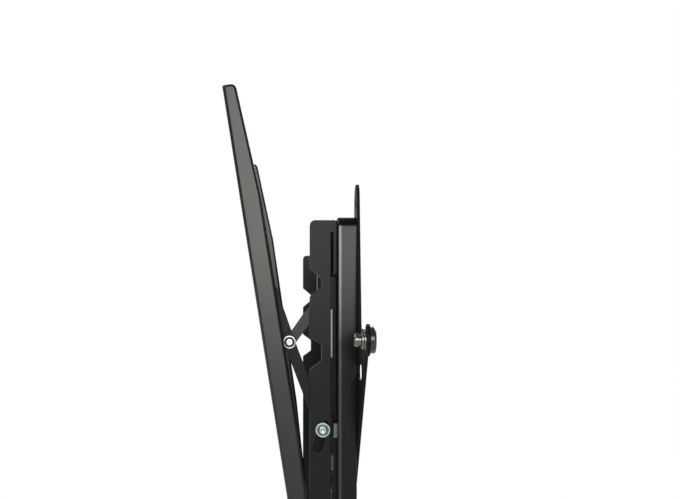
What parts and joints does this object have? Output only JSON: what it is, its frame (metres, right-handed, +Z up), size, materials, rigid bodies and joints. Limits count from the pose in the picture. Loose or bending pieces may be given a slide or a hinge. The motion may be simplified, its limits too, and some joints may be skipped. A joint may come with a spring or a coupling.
{
  "type": "tilting television wall mount",
  "caption": "Tilting television wall mount: a drawn wall tray with eared rear plates, hook brackets that slide on a rail, and channel arms held at an angle by slotted stay links.",
  "frame": {"origin": "on the wall plane, at the middle of the wall tray's width and height", "axes": "+X along the wall, +Y into the wall, +Z up"},
  "size_m": [0.6336, 0.1204, 0.4421],
  "materials": {
    "black_steel": "black powder coat, fine texture",
    "zinc_steel": "bright zinc plating",
    "foot_plastic": "glossy black moulding",
    "pad_rubber": "matt black rubber",
    "glide_nylon": "pale nylon"
  },
  "bodies": {
    "wall_frame": {"wall_tray": "black_steel", "rear_plate_right": "black_steel", "rear_plate_left": "black_steel", "levelling_screws": "zinc_steel", "levelling_washers": "zinc_steel", "levelling_feet": "foot_plastic", "wall_pads": "pad_rubber", "hook_rail": "black_steel", "rail_spacers": "black_steel", "rail_rivets": "black_steel", "stop_bar": "zinc_steel", "stop_bar_rivets": "black_steel", "plate_rivets": "black_steel"},
    "bracket_right": {"hook_bracket_right": "black_steel", "glide_strip_right": "glide_nylon", "safety_screw_right": "zinc_steel", "pivot_bolt_right": "zinc_steel", "pivot_nut_right": "zinc_steel", "pivot_sleeves_right": "zinc_steel", "short_link_pin_right": "zinc_steel"},
    "arm_right": {"tilt_arm_right": "black_steel"},
    "short_stay_right": {"short_link_right": "black_steel"},
    "long_stay_right": {"long_link_right": "black_steel", "mid_bolt_right": "zinc_steel", "mid_nut_right": "zinc_steel", "lock_bolt_right": "zinc_steel", "lock_washer_right": "zinc_steel", "lock_nut_right": "zinc_steel", "slide_pin_right": "zinc_steel"},
    "bracket_left": {"hook_bracket_left": "black_steel", "glide_strip_left": "glide_nylon", "safety_screw_left": "zinc_steel", "pivot_bolt_left": "zinc_steel", "pivot_nut_left": "zinc_steel", "pivot_sleeves_left": "zinc_steel", "short_link_pin_left": "zinc_steel"},
    "arm_left": {"tilt_arm_left": "black_steel"},
    "short_stay_left": {"short_link_left": "black_steel"},
    "long_stay_left": {"long_link_left": "black_steel", "mid_bolt_left": "zinc_steel", "mid_nut_left": "zinc_steel", "lock_bolt_left": "zinc_steel", "lock_washer_left": "zinc_steel", "lock_nut_left": "zinc_steel", "slide_pin_left": "zinc_steel"}
  },
  "joints": [
    {"name": "bracket_slide_right", "type": "slide", "parent": "wall_frame", "child": "bracket_right", "axis": [1, 0, 0], "range_m": [-0.04, 0.004]},
    {"name": "tilt_right", "type": "hinge", "parent": "bracket_right", "child": "arm_right", "pos_m": [0.194, -0.0445, -0.1717], "axis": [1, 0, 0], "range_deg": [-9, 1.5]},
    {"name": "short_stay_swing_right", "type": "hinge", "parent": "bracket_right", "child": "short_stay_right", "pos_m": [0.19275, -0.0378, 0.0733], "axis": [1, 0, 0], "range_deg": [-5.3, 31]},
    {"name": "long_stay_swing_right", "type": "hinge", "parent": "short_stay_right", "child": "long_stay_right", "pos_m": [0.19575, -0.0637, 0.039], "axis": [1, 0, 0], "range_deg": [-50, 8.5]},
    {"name": "bracket_slide_left", "type": "slide", "parent": "wall_frame", "child": "bracket_left", "axis": [-1, 0, 0], "range_m": [-0.04, 0.004]},
    {"name": "tilt_left", "type": "hinge", "parent": "bracket_left", "child": "arm_left", "pos_m": [-0.194, -0.0445, -0.1717], "axis": [1, 0, 0], "range_deg": [-8.35, 2.15]},
    {"name": "short_stay_swing_left", "type": "hinge", "parent": "bracket_left", "child": "short_stay_left", "pos_m": [-0.19275, -0.0378, 0.0733], "axis": [1, 0, 0], "range_deg": [-7.57, 28.86]},
    {"name": "long_stay_swing_left", "type": "hinge", "parent": "short_stay_left", "child": "long_stay_left", "pos_m": [-0.19575, -0.06235, 0.03802], "axis": [1, 0, 0], "range_deg": [-46.49, 12.14]}
  ],
  "couplings": [
    {"joint": "short_stay_swing_right", "follows": "tilt_right", "ratio": -3.43},
    {"joint": "long_stay_swing_right", "follows": "tilt_right", "ratio": 5.53},
    {"joint": "short_stay_swing_left", "follows": "tilt_left", "ratio": -3.43},
    {"joint": "long_stay_swing_left", "follows": "tilt_left", "ratio": 5.53}
  ]
}
